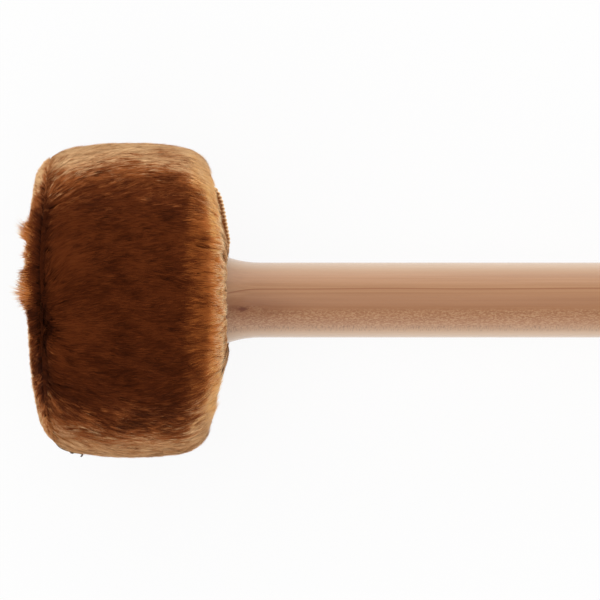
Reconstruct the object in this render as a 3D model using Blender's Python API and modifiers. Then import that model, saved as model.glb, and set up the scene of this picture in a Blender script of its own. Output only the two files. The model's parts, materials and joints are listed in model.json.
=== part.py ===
"""A gong mallet. A turned handle carries a hardwood core, which is wound with felt and wrapped in wadding.
The plush cover is a band and two faces, sewn together round the rims. The back face is gathered round the
handle's collar by a thread in its hem. The mallet lies as it does on a table, on its head and its butt."""

import math

import bmesh
import bpy
import numpy as np
from mathutils import Vector

# Overall sizes. The mallet's axis is local Z: the widest ring of the head is at 0 and the grip is at +Z.
mallet_length = 0.385
head_diameter = 0.1236

# The head's outline: a crowned side between two rounded shoulders, a domed front and a sloping back.
side_arc_radius = 0.119
front_side_width = 0.0248
back_side_width = 0.0203
front_shoulder_radius = 0.014
back_shoulder_radius = 0.012
front_face_slope = math.radians(8)
back_face_slope = math.radians(14)

# The plush cover, and the rounded edges that meet in its seams.
cover_thickness = 0.004
edge_roll = 0.002
front_seam_turn = math.radians(42)
back_seam_turn = math.radians(44)
side_seam_angle = math.radians(50)
seam_opening = 0.0004

# The gathered back.
pleat_count = 20
pleat_height = 0.0013
pleat_reach = 0.020
hem_wall = 0.0015
hem_lip_turn = math.radians(205)

# Sewing threads.
seam_thread_diameter = 0.0008
draw_thread_diameter = 0.0016
rim_stitches = 30
side_stitches = 7
stitch_lift = 0.0005
stitch_lean = 0.0003

# What fills the head.
wadding_thickness = 0.005
wadding_at_corners = 0.0016
felt_thickness = 0.0046
felt_turn_gap = 0.0005
felt_end_thickness = 0.005
core_diameter = 0.064
core_chamfer = 0.0015
recess_diameter = 0.032
recess_depth = 0.009

# The turned handle.
grip_diameter = 0.030
flare_radius = 0.039
collar_diameter = 0.041
collar_cover = 0.0065
butt_radius = 0.006
tenon_diameter = 0.0214
tenon_relief = 0.001

# The screw that holds the core, and its washer.
screw_diameter = 0.008
screw_length = 0.045
screw_point = 0.005
screw_head_height = 0.0053
screw_head_across_flats = 0.013
washer_diameter = 0.028
washer_thickness = 0.002
pilot_hole_spare = 0.003

# Fits.
seat_gap = 0.0003
thread_gap = 0.0002
resting_flat_depth = 0.0005

# How finely round shapes are divided.
cover_steps = 48
inner_steps = 40
small_steps = 24
felt_steps_per_turn = 28
pleat_steps = 4
edge_steps = 3
stitch_points = 3

head_radius = head_diameter / 2
grip_radius = grip_diameter / 2
collar_radius = collar_diameter / 2
core_radius = core_diameter / 2
lining_depth = cover_thickness + seat_gap
seam_thread_radius = seam_thread_diameter / 2
draw_thread_radius = draw_thread_diameter / 2


def solve(function, low, high):
    """The place between low and high where a function that is positive at low turns negative."""
    for _ in range(60):
        middle = (low + high) / 2
        if function(middle) > 0:
            low = middle
        else:
            high = middle
    return (low + high) / 2


class HeadHalf:
    """Half of the head's outline, from its widest ring out to one face. A place on it is a distance along
    the outline from the widest ring and a depth under the plush surface, and it gives (z, radius)."""

    def __init__(self, direction, side_width, shoulder_radius, face_slope, domed):
        self.direction = direction
        self.shoulder_radius = shoulder_radius
        self.face_slope = face_slope
        self.domed = domed
        self.side_turn = math.asin(side_width / side_arc_radius)
        self.face_turn = math.pi / 2 - face_slope
        self.side_length = side_arc_radius * self.side_turn
        self.shoulder_length = shoulder_radius * (self.face_turn - self.side_turn)
        self.face_start = self.side_length + self.shoulder_length
        swing = side_arc_radius - shoulder_radius
        self.side_center = (0.0, head_radius - side_arc_radius)
        self.shoulder_center = (
            swing * math.sin(self.side_turn),
            self.side_center[1] + swing * math.cos(self.side_turn),
        )
        rim = self.shoulder_center[1] + shoulder_radius * math.cos(self.face_turn)
        self.dome_radius = rim / math.sin(face_slope)
        self.face_length = self.dome_radius * face_slope if domed else rim / math.cos(face_slope)
        self.end = self.face_start + self.face_length

    def turn_at(self, along):
        """How far the outline's outward normal has turned from square to the axis."""
        if along <= self.side_length:
            return along / side_arc_radius
        if along <= self.face_start:
            return self.side_turn + (along - self.side_length) / self.shoulder_radius
        if self.domed:
            return self.face_turn + (along - self.face_start) / self.dome_radius
        return self.face_turn

    def along_at_turn(self, turn):
        """Where on the shoulder the outward normal has turned this far."""
        return self.side_length + (turn - self.side_turn) * self.shoulder_radius

    def point(self, along, depth):
        turn = self.turn_at(along)
        if along <= self.side_length:
            center, reach = self.side_center, side_arc_radius - depth
        elif along <= self.face_start or not self.domed:
            center, reach = self.shoulder_center, self.shoulder_radius - depth
        else:
            # The dome's center lies on the axis, so its arc is square to the axis at the middle.
            shift = (self.shoulder_radius - self.dome_radius) * math.sin(self.face_turn)
            center, reach = (self.shoulder_center[0] + shift, 0.0), self.dome_radius - depth
        z = center[0] + reach * math.sin(turn)
        radius = center[1] + reach * math.cos(turn)
        if along > self.face_start and not self.domed:
            beyond = along - self.face_start
            z += beyond * math.sin(self.face_slope)
            radius -= beyond * math.cos(self.face_slope)
        return (self.direction * z, max(radius, 0.0))

    def along_at_z(self, z, depth):
        """Where the outline at this depth stands this far out along the axis."""
        return solve(lambda along: z - abs(self.point(along, depth)[0]), 0.0, self.end)

    def rolled_edge(self, seam_along, toward_face, steps):
        """(along, depth) pairs over a cover's rounded edge, from its full height down into the seam."""
        pairs = []
        for step in range(steps + 1):
            phase = step / steps * math.pi / 2
            back_off = seam_opening / 2 + edge_roll * (1 - math.sin(phase))
            depth = edge_roll * (1 - math.cos(phase))
            back_off *= self.shoulder_radius / (self.shoulder_radius - depth)
            pairs.append((seam_along - back_off if toward_face else seam_along + back_off, depth))
        return pairs

    def seam_side(self, seam_along, toward_face, depth):
        """The distance along at which a cover's cut edge stands, at this depth, beside its seam."""
        back_off = seam_opening / 2 * self.shoulder_radius / (self.shoulder_radius - depth)
        return seam_along - back_off if toward_face else seam_along + back_off


front = HeadHalf(-1, front_side_width, front_shoulder_radius, front_face_slope, True)
back = HeadHalf(1, back_side_width, back_shoulder_radius, back_face_slope, False)
front_seam = front.along_at_turn(front_seam_turn)
back_seam = back.along_at_turn(back_seam_turn)


def spread(start, end, count):
    """Evenly spaced values from start to end, both included."""
    return [start + (end - start) * step / (count - 1) for step in range(count)]


# The handle's places along the axis follow from where the sloping back would meet the collar.
back_to_collar = (back.point(back.face_start, 0)[1] - collar_radius) / math.cos(back_face_slope)
collar_end = back.point(back.face_start + back_to_collar, 0)[0] - collar_cover
flare_rise = collar_radius - grip_radius
flare_length = math.sqrt(flare_radius**2 - (flare_radius - flare_rise) ** 2)
grip_start = collar_end + flare_length
striking_end = front.point(front.end, 0)[0]
butt_end = striking_end + mallet_length


def handle_radius(z):
    """The radius from the collar to the grip. The flare is a hollow arc that runs into the straight grip."""
    if z >= grip_start:
        return grip_radius
    if z <= collar_end:
        return collar_radius
    return grip_radius + flare_radius - math.sqrt(flare_radius**2 - (grip_start - z) ** 2)


# The felt body is as wide as leaves the wadding its thickness at the side and at the corners.
felt_outer_radius = head_radius - lining_depth - wadding_thickness - seat_gap


def felt_reach(half):
    """How far the wound felt runs from the widest ring before its corner nears the shoulder's lining."""
    room = half.shoulder_radius - lining_depth - wadding_at_corners
    offset = felt_outer_radius - half.shoulder_center[1]
    return half.shoulder_center[0] + math.sqrt(room**2 - offset**2)


core_front = -felt_reach(front)
core_back = felt_reach(back)
front_felt_face = core_front - seat_gap - felt_end_thickness
back_felt_face = core_back + seat_gap + felt_end_thickness
inner_depth = lining_depth + wadding_at_corners
front_felt_radius = front.point(front.along_at_z(abs(front_felt_face), inner_depth), inner_depth)[1]
back_felt_radius = back.point(back.along_at_z(back_felt_face, inner_depth), inner_depth)[1]

# The screw and its washer stand in the core's recess, and the washer bears on the recess's floor.
recess_floor = core_front + recess_depth
washer_back = recess_floor - seat_gap
washer_front = washer_back - washer_thickness
screw_head_back = washer_front - seat_gap
screw_head_front = screw_head_back - screw_head_height
screw_tip = screw_head_back + screw_length
tenon_end = recess_floor + tenon_relief
pilot_hole_end = screw_tip + pilot_hole_spare
screw_radius = screw_diameter / 2
pilot_hole_radius = screw_radius + seat_gap

# The hem is a roll round the draw thread. It lies against the sloping back and clears the collar.
hem_bore_radius = draw_thread_radius + seat_gap
hem_radius = hem_bore_radius + hem_wall
back_normal = math.pi / 2 - back_face_slope


def around_hem(center, reach, turn):
    """(z, radius) at this reach from the hem's middle, turned from straight outwards towards the grip."""
    return (center[0] + reach * math.sin(turn), center[1] + reach * math.cos(turn))


def hem_clearance(along):
    """The least room between a hem centred under this place on the back and the handle."""
    center = back.point(along, hem_radius)
    around = [around_hem(center, hem_radius, turn) for turn in spread(0, 2 * math.pi, 73)]
    return min(radius - handle_radius(z) for z, radius in around) - seat_gap


hem_along = solve(hem_clearance, back.face_start, back.end)
hem_center = back.point(hem_along, hem_radius)


def finish(name, colour, roughness, metallic=0.0):
    """A plain material for one piece."""
    material = bpy.data.materials.new(name)
    material.use_nodes = True
    shader = material.node_tree.nodes["Principled BSDF"]
    shader.inputs["Base Color"].default_value = (*colour, 1.0)
    shader.inputs["Roughness"].default_value = roughness
    shader.inputs["Metallic"].default_value = metallic
    material.diffuse_color = (*colour, 1.0)
    return material


def rest_angle(sink):
    """How far the grip dips when the head, pressed in by sink, and the butt lie on one flat surface."""

    def head_above_butt(angle):
        lowest_head = max(z * math.sin(angle) + r * math.cos(angle) for z, r in head_outline)
        lowest_butt = max(z * math.sin(angle) + r * math.cos(angle) for z, r in butt_outline)
        return lowest_head - sink - lowest_butt

    return solve(head_above_butt, 0.0, math.radians(45))


def arc(center_z, center_radius, reach, start, end, steps):
    """(z, radius) points on an arc, by angle from straight outwards towards the grip."""
    return [
        (center_z + reach * math.sin(turn), center_radius + reach * math.cos(turn))
        for turn in spread(start, end, steps + 1)
    ]


outline_samples = 400
head_outline = [front.point(along, 0) for along in spread(0, front.end, outline_samples)]
head_outline += [back.point(along, 0) for along in spread(0, hem_along, outline_samples)]
butt_outline = arc(butt_end - butt_radius, grip_radius - butt_radius, butt_radius, math.pi / 2, 0, 8)
dip = rest_angle(resting_flat_depth)


def world_x(z, radius):
    return z * math.cos(dip) + radius * math.sin(dip)


# The origin is under the middle of the mallet's box, on the surface that it lies on.
everything = head_outline + butt_outline
rightmost = max(world_x(z, abs(r)) for z, r in everything)
leftmost = min(world_x(z, -abs(r)) for z, r in everything)
axis_height = max(z * math.sin(dip) + r * math.cos(dip) for z, r in butt_outline)

for old in list(bpy.data.objects):
    bpy.data.objects.remove(old, do_unlink=True)

parts = bpy.data.collections.new("gong_mallet")
cutters = bpy.data.collections.new("gong_mallet_cutters")
cutters.hide_render = True
bpy.context.scene.collection.children.link(parts)
bpy.context.scene.collection.children.link(cutters)

mallet = bpy.data.objects.new("mallet_axis", None)
mallet.location = (-(rightmost + leftmost) / 2, 0.0, axis_height)
mallet.rotation_euler = (0.0, math.pi / 2 + dip, 0.0)
mallet.empty_display_size = head_radius
parts.objects.link(mallet)


def place(name, data, material):
    """Adds a piece to the mallet, on its axis."""
    piece = bpy.data.objects.new(name, data)
    data.materials.append(material)
    parts.objects.link(piece)
    piece.parent = mallet
    return piece


def turned(name, outline, steps, material, closed=False):
    """A solid turned from (z, radius) points that run down its outer side, from the grip end to the front.
    An open outline starts and ends on the axis, and a closed one makes a ring."""
    mesh = bpy.data.meshes.new(name)
    count = len(outline)
    edges = [(index, index + 1) for index in range(count - 1)]
    if closed:
        edges.append((count - 1, 0))
    mesh.from_pydata([(radius, 0.0, z) for z, radius in outline], edges, [])
    piece = place(name, mesh, material)
    screw = piece.modifiers.new("Turn", "SCREW")
    screw.axis = "Z"
    screw.angle = 2 * math.pi
    screw.steps = steps
    screw.render_steps = steps
    screw.use_merge_vertices = True
    screw.merge_threshold = 0.00001
    screw.use_smooth_shade = True
    return piece


def lofted(name, sections, material, closed):
    """A solid through closed sections of equal point counts: joined end to start, or capped at both ends."""
    shape = bmesh.new()
    rings = [[shape.verts.new(point) for point in section] for section in sections]
    pairs = list(zip(rings, rings[1:]))
    if closed:
        pairs.append((rings[-1], rings[0]))
    for ring, following in pairs:
        for index, vertex in enumerate(ring):
            after = (index + 1) % len(ring)
            shape.faces.new((vertex, ring[after], following[after], following[index]))
    if not closed:
        shape.faces.new(reversed(rings[0]))
        shape.faces.new(rings[-1])
    bmesh.ops.recalc_face_normals(shape, faces=shape.faces)
    mesh = bpy.data.meshes.new(name)
    shape.to_mesh(mesh)
    shape.free()
    mesh.shade_smooth()
    mesh.set_sharp_from_angle(angle=math.radians(50))
    return place(name, mesh, material)


def at_angle(outline, angle):
    """(z, radius) points swung round the axis to this angle from local +X, which is the resting side."""
    return [Vector((r * math.cos(angle), r * math.sin(angle), z)) for z, r in outline]


def tube(name, points, radius, sides_step, material, looped):
    """A thread along these points, round in section, with closed ends."""
    curve = bpy.data.curves.new(name, "CURVE")
    curve.dimensions = "3D"
    curve.bevel_depth = radius
    curve.bevel_resolution = sides_step
    curve.use_fill_caps = not looped
    spline = curve.splines.new("POLY")
    spline.points.add(len(points) - 1)
    for point, place_at in zip(spline.points, points):
        point.co = (*place_at, 1.0)
    spline.use_cyclic_u = looped
    return place(name, curve, material)


def least_gap(points, width, apart):
    """The least room between two stretches of one winding whose points are at least this many apart."""
    places = np.array(points)
    gaps = [
        np.linalg.norm(places[index + apart:] - places[index], axis=1).min()
        for index in range(len(places) - apart)
    ]
    return float(min(gaps)) - width


# Handle: one turning, from its flat butt over the grip and the flare to the collar and the tenon. The
# tenon's end is drilled for the screw.
beech = finish("beech", (0.72, 0.50, 0.32), 0.42)
handle_outline = [(butt_end, 0.0)]
handle_outline += butt_outline
handle_outline += [(z, handle_radius(z)) for z in spread(grip_start, collar_end, 8)]
handle_outline += [
    (core_back + seat_gap, collar_radius),
    (core_back + seat_gap, tenon_diameter / 2),
    (tenon_end, tenon_diameter / 2),
    (tenon_end, pilot_hole_radius),
    (pilot_hole_end, pilot_hole_radius),
    (pilot_hole_end + pilot_hole_radius / 2, 0.0),
]
turned("handle", handle_outline, inner_steps, beech)

# Core: a drum with chamfered edges, bored for the tenon and recessed at the front for the washer.
hardwood = finish("hardwood", (0.60, 0.42, 0.25), 0.55)
bore_radius = tenon_diameter / 2 + seat_gap
turned(
    "core",
    [
        (core_back, bore_radius),
        (core_back, core_radius - core_chamfer),
        (core_back - core_chamfer, core_radius),
        (core_front + core_chamfer, core_radius),
        (core_front, core_radius - core_chamfer),
        (core_front, recess_diameter / 2),
        (recess_floor, recess_diameter / 2),
        (recess_floor, bore_radius),
    ],
    inner_steps,
    hardwood,
    closed=True,
)

# Washer: a plain disc with its hole, on the recess's floor.
steel = finish("zinc_plated_steel", (0.55, 0.56, 0.58), 0.35, 1.0)
turned(
    "screw_washer",
    [
        (washer_back, pilot_hole_radius),
        (washer_back, washer_diameter / 2),
        (washer_front, washer_diameter / 2),
        (washer_front, pilot_hole_radius),
    ],
    small_steps,
    steel,
    closed=True,
)

# Screw: a hexagon head made by a six-step turn, joined to a round shank with a point.
head_corner = screw_head_across_flats / 2 / math.cos(math.pi / 6)
head_edge = screw_head_height / 6
screw_head = turned(
    "core_screw",
    [
        (screw_head_back, 0.0),
        (screw_head_back, head_corner),
        (screw_head_front + head_edge, head_corner),
        (screw_head_front, head_corner - head_edge),
        (screw_head_front, 0.0),
    ],
    6,
    steel,
)
screw_shank = turned(
    "screw_shank",
    [
        (screw_tip, 0.0),
        (screw_tip - screw_point, screw_radius),
        (screw_head_back - screw_head_height / 2, screw_radius),
        (screw_head_back - screw_head_height / 2, 0.0),
    ],
    small_steps,
    steel,
)
parts.objects.unlink(screw_shank)
cutters.objects.link(screw_shank)
screw_shank.hide_render = True
screw_shank.display_type = "WIRE"
join = screw_head.modifiers.new("Shank", "BOOLEAN")
join.operation = "UNION"
join.object = screw_shank

# Felt wrap: one strip wound on the core. Each turn steps out by its thickness and a small gap.
felt = finish("wool_felt", (0.55, 0.52, 0.46), 0.95)
felt_start_radius = core_radius + seat_gap + felt_thickness / 2
felt_pitch = felt_thickness + felt_turn_gap
felt_turns = (felt_outer_radius - felt_thickness / 2 - felt_start_radius) / felt_pitch
felt_sections = []
felt_line = []
for step in range(round(felt_turns * felt_steps_per_turn) + 1):
    angle = step / felt_steps_per_turn * 2 * math.pi
    middle = felt_start_radius + felt_pitch * step / felt_steps_per_turn
    inner, outer = middle - felt_thickness / 2, middle + felt_thickness / 2
    strip = [(core_front, inner), (core_front, outer), (core_back, outer), (core_back, inner)]
    felt_sections.append(at_angle(strip, angle))
    felt_line.append((middle * math.cos(angle), middle * math.sin(angle), 0.0))
lofted("felt_wrap", felt_sections, felt, closed=False)
print(f"felt_wrap: {felt_turns:.2f} turns, least gap to itself "
      f"{1000 * least_gap(felt_line, felt_thickness, felt_steps_per_turn // 2):.2f} mm")

# End felts: a disc over the core's front, and a ring round the collar at its back.
turned(
    "front_felt",
    [
        (core_front - seat_gap, 0.0),
        (core_front - seat_gap, front_felt_radius),
        (front_felt_face, front_felt_radius),
        (front_felt_face, 0.0),
    ],
    inner_steps,
    felt,
)
turned(
    "back_felt",
    [
        (back_felt_face, collar_radius + seat_gap),
        (back_felt_face, back_felt_radius),
        (core_back + seat_gap, back_felt_radius),
        (core_back + seat_gap, collar_radius + seat_gap),
    ],
    inner_steps,
    felt,
    closed=True,
)

# Wadding: a soft cap between the felt body and the plush, which closes round the collar under the hem.
polyester = finish("polyester_wadding", (0.85, 0.85, 0.82), 0.98)
wadding_hole = collar_radius + seat_gap
hem_room = hem_center[1] + hem_radius + seat_gap
back_stop = solve(lambda along: back.point(along, lining_depth)[1] - hem_room, back.face_start, back.end)
under_hem = min(hem_center[0] - hem_radius, back.point(back_stop, lining_depth)[0]) - seat_gap
wadding_outline = [(under_hem, wadding_hole), (under_hem, hem_room)]
wadding_outline += [back.point(along, lining_depth) for along in (back_stop, back.face_start)]
wadding_outline += [
    back.point(along, lining_depth)
    for along in spread(back.face_start, back.side_length, 5)[1:]
]
wadding_outline.append(back.point(0.0, lining_depth))
wadding_outline += [
    front.point(along, lining_depth)
    for along in spread(front.side_length, front.face_start, 5)
]
wadding_outline += [
    front.point(along, lining_depth)
    for along in spread(front.face_start, front.end, 4)[1:]
]
wadding_outline += [
    (front_felt_face - seat_gap, 0.0),
    (front_felt_face - seat_gap, front_felt_radius + seat_gap),
    (core_front - seat_gap, front_felt_radius + seat_gap),
    (core_front - seat_gap, felt_outer_radius + seat_gap),
    (core_back + seat_gap, felt_outer_radius + seat_gap),
    (core_back + seat_gap, back_felt_radius + seat_gap),
    (back_felt_face + seat_gap, back_felt_radius + seat_gap),
    (back_felt_face + seat_gap, wadding_hole),
]
turned("wadding", wadding_outline, inner_steps, polyester, closed=True)

# Front cover: a domed disc of plush whose rounded edge turns down into the front seam.
plush = finish("plush", (0.30, 0.12, 0.045), 0.9)
front_rim = front.rolled_edge(front_seam, False, edge_steps)
front_lining_rim = front.seam_side(front_seam, False, cover_thickness)
front_lining = spread(front_lining_rim, front.face_start, 3) + spread(front.face_start, front.end, 4)[1:]
front_surface = spread(front_rim[0][0], front.face_start, 3)[1:] + spread(front.face_start, front.end, 5)[1:]
front_cover = [front.point(along, cover_thickness) for along in reversed(front_lining)]
front_cover += [front.point(*pair) for pair in reversed(front_rim)]
front_cover += [front.point(along, 0) for along in front_surface]
turned("cover_front", front_cover, cover_steps, plush)

# Side cover: a band of plush round the crowned side. Its ends meet at the side seam, where its outer
# surface rolls in as its rims do.
side_gap_turn = seam_opening / 2 / head_radius
roll_turn = edge_roll / head_radius


def seam_roll_depth(distance):
    """How far the plush has rolled in at this distance from the middle of a seam."""
    into_roll = min(max(distance - seam_opening / 2, 0.0), edge_roll)
    return edge_roll - math.sqrt(edge_roll**2 - (edge_roll - into_roll) ** 2)


def side_outer_pairs():
    """(half, along, depth) over the band's outer surface, from the back rim to the front rim."""
    pairs = [(back, *pair) for pair in reversed(back.rolled_edge(back_seam, True, edge_steps))]
    pairs += [(back, along, 0.0) for along in spread(pairs[-1][1], back.side_length, 3)[1:]]
    pairs += [(back, back.side_length / 2, 0.0), (back, 0.0, 0.0), (front, front.side_length / 2, 0.0)]
    edge = [(front, *pair) for pair in front.rolled_edge(front_seam, True, edge_steps)]
    pairs += [(front, along, 0.0) for along in spread(front.side_length, edge[0][1], 3)[:-1]]
    return pairs + edge


front_lining_stop = front.seam_side(front_seam, True, cover_thickness)
back_lining_stop = back.seam_side(back_seam, True, cover_thickness)
side_inner = [
    front.point(along, cover_thickness) for along in spread(front_lining_stop, front.side_length, 3)
]
side_inner.append(back.point(0.0, cover_thickness))
side_inner += [
    back.point(along, cover_thickness) for along in spread(back.side_length, back_lining_stop, 3)
]
roll_angles = [
    side_gap_turn + roll_turn * (1 - math.sin(phase)) for phase in spread(math.pi / 2, 0, edge_steps + 1)
]
even_angles = spread(roll_angles[-1], 2 * math.pi - roll_angles[-1], cover_steps + 1)
side_angles = roll_angles[:-1] + even_angles + [2 * math.pi - angle for angle in reversed(roll_angles[:-1])]
side_sections = []
for angle in side_angles:
    from_seam = min(angle, 2 * math.pi - angle)
    outer = [
        half.point(along, max(depth, seam_roll_depth(from_seam * head_radius)))
        for half, along, depth in side_outer_pairs()
    ]
    side_sections.append(at_angle(outer + side_inner, side_seam_angle + angle))
cover_side = lofted("cover_side", side_sections, plush, closed=False)

# The band is pressed flat where the head lies on the table.
cutter_size = head_diameter
bpy.ops.mesh.primitive_cube_add(size=cutter_size, location=(0.0, 0.0, -cutter_size / 2))
table = bpy.context.object
table.name = "table_cutter"
table.location.x = mallet.location.x
table.hide_render = True
table.display_type = "WIRE"
for home in list(table.users_collection):
    home.objects.unlink(table)
cutters.objects.link(table)
flat = cover_side.modifiers.new("Resting flat", "BOOLEAN")
flat.operation = "DIFFERENCE"
flat.object = table

# Back cover: a ring of plush from the back seam to the hem. Its fullness is drawn in to pleats that rise
# towards the collar, and the hem rolls round the draw thread and leaves a slit underneath.
hem_lip = back_normal + hem_lip_turn
sheet_turn = back_normal - math.acos((hem_radius - cover_thickness) / hem_radius)
back_edge = list(reversed(back.rolled_edge(back_seam, False, edge_steps)))
back_face = back_edge + [(along, 0.0) for along in spread(back_edge[-1][0], back.face_start, 3)[1:]]
back_face += [(along, 0.0) for along in spread(back.face_start, hem_along, 4)[1:]]
hem_turns = spread(back_normal, hem_lip, 6)[1:]
bore_turns = spread(hem_lip, sheet_turn, 6)
back_lining_start = back.seam_side(back_seam, False, cover_thickness)
back_lining = [
    back.point(along, cover_thickness) for along in spread(back.face_start, back_lining_start, 3)
]
pleat_fade_end = hem_center[1] + pleat_reach
back_sections = []
for step in range(pleat_count * pleat_steps):
    angle = step / (pleat_count * pleat_steps) * 2 * math.pi
    rise = pleat_height * math.sin(math.pi * (step % pleat_steps) / pleat_steps)
    section = []
    for along, depth in back_face:
        z, radius = back.point(along, depth)
        fade = min(max((pleat_fade_end - radius) / pleat_reach, 0.0), 1.0)
        section.append((z + rise * fade, radius))
    for turn in hem_turns:
        z, radius = around_hem(hem_center, hem_radius, turn)
        section.append((z + rise * max(math.sin(turn), 0.0), radius))
    section += [around_hem(hem_center, hem_bore_radius, turn) for turn in bore_turns]
    section.append(around_hem(hem_center, hem_radius, sheet_turn))
    back_sections.append(at_angle(section + back_lining, angle))
lofted("cover_back", back_sections, plush, closed=True)

# Seam threads: one thread runs round each rim in the groove between the rolled edges, and one along the
# side seam. At each stitch the thread lifts out and leans to one side in turn.
cotton = finish("cotton_thread", (0.22, 0.10, 0.05), 0.8)
groove_reach = edge_roll + seam_thread_radius + thread_gap
groove_depth = edge_roll - math.sqrt(groove_reach**2 - (edge_roll + seam_opening / 2) ** 2)


def stitches(count):
    """(share of the way, lift, lean) along a run of stitches."""
    for step in range(count * stitch_points):
        phase = step % stitch_points / stitch_points
        out = math.sin(math.pi * phase) ** 2
        lean = out * (1 if step // stitch_points % 2 else -1)
        yield step / (count * stitch_points), out * stitch_lift, lean * stitch_lean


def rim_thread(name, half, seam_along):
    points = []
    for share, lift, lean in stitches(rim_stitches):
        outline = [half.point(seam_along + lean, groove_depth - lift)]
        points += at_angle(outline, share * 2 * math.pi)
    tube(name, points, seam_thread_radius, 0, cotton, looped=False)
    gap = least_gap(points, seam_thread_diameter, stitch_points)
    print(f"{name}: {rim_stitches} stitches, least gap to itself {1000 * gap:.2f} mm")


rim_thread("front_seam_thread", front, front_seam)
rim_thread("back_seam_thread", back, back_seam)

side_stitch_line = []
front_run = front_seam - edge_roll - seam_thread_diameter
back_run = back_seam - edge_roll - seam_thread_diameter
for share, lift, lean in stitches(side_stitches):
    along = back_run - share * (back_run + front_run)
    half = back if along >= 0 else front
    outline = [half.point(abs(along), groove_depth - lift)]
    side_stitch_line += at_angle(outline, side_seam_angle + lean / head_radius)
tube("side_seam_thread", side_stitch_line, seam_thread_radius, 0, cotton, looped=False)

# Draw thread: a closed ring in the hem's bore.
draw_line = []
for angle in spread(0, 2 * math.pi, cover_steps + 1)[:-1]:
    draw_line += at_angle([hem_center], angle)
tube("draw_thread", draw_line, draw_thread_radius, 1, cotton, looped=True)

bpy.context.view_layer.update()
pressed_z, pressed_radius = max(head_outline, key=lambda p: p[0] * math.sin(dip) + p[1] * math.cos(dip))
for label, place_on_axis in (
    ("middle of the butt", (0.0, 0.0, butt_end)),
    ("middle of the resting flat", (pressed_radius, 0.0, pressed_z)),
    ("widest ring's middle", (0.0, 0.0, 0.0)),
):
    where = mallet.matrix_world @ Vector(place_on_axis)
    print(f"{label} in metres: {where.x:.6f}, {where.y:.6f}, {where.z:.6f}")
print(f"grip dips {math.degrees(dip):.3f} degrees, core {1000 * (core_back - core_front):.1f} mm long")
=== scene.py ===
import json
import math

import bpy
import numpy as np
from mathutils import Matrix, Vector


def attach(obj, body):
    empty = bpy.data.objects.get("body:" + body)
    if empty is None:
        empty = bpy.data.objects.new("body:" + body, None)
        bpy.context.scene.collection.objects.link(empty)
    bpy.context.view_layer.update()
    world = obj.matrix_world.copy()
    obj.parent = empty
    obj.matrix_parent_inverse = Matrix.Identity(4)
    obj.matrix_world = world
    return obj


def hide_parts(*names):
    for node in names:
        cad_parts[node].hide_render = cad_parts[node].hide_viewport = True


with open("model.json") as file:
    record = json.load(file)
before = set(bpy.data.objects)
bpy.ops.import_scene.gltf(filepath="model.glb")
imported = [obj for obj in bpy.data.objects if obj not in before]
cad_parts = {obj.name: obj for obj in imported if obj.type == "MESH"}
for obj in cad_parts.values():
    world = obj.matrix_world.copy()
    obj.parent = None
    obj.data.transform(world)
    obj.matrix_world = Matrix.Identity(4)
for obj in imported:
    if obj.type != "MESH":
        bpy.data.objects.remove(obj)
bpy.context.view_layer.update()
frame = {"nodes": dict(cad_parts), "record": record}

# Camera. It looks down square onto the mallet's axis, with the head at the left and the grip running out
# of the picture at the right. The axis is read from the mount at the middle of the butt.
butt_mount = next(mount for mount in frame["record"]["mounts"] if mount["name"] == "butt_end")
butt_middle = Vector(butt_mount["pos_m"])
axis = Vector(butt_mount["axis"]).normalized()
across = Vector((0.0, 1.0, 0.0))
up_from_axis = axis.cross(across)
picture_width = 0.240
camera_distance = 1.10
butt_to_picture_middle = 0.2789
camera_data = bpy.data.cameras.new("camera")
camera_data.angle = 2 * math.atan(picture_width / 2 / camera_distance)
camera = bpy.data.objects.new("camera", camera_data)
bpy.context.scene.collection.objects.link(camera)
picture_middle = butt_middle - axis * butt_to_picture_middle
camera_turn = Matrix((axis, across, up_from_axis)).transposed().to_4x4()
camera.matrix_world = Matrix.Translation(picture_middle + up_from_axis * camera_distance) @ camera_turn
bpy.context.scene.camera = camera

# Handle: one turning in pale beech, sanded and sealed with a thin satin finish. The core is glued and
# screwed to its tenon, which the head hides. One year ring's edge runs the length of the grip, with a
# browner stripe beside it, a small knot at the flare, and ray flecks where the rings stand on edge.
butt_to_widest = 0.345895
head_middle = butt_middle - axis * butt_to_widest


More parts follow.
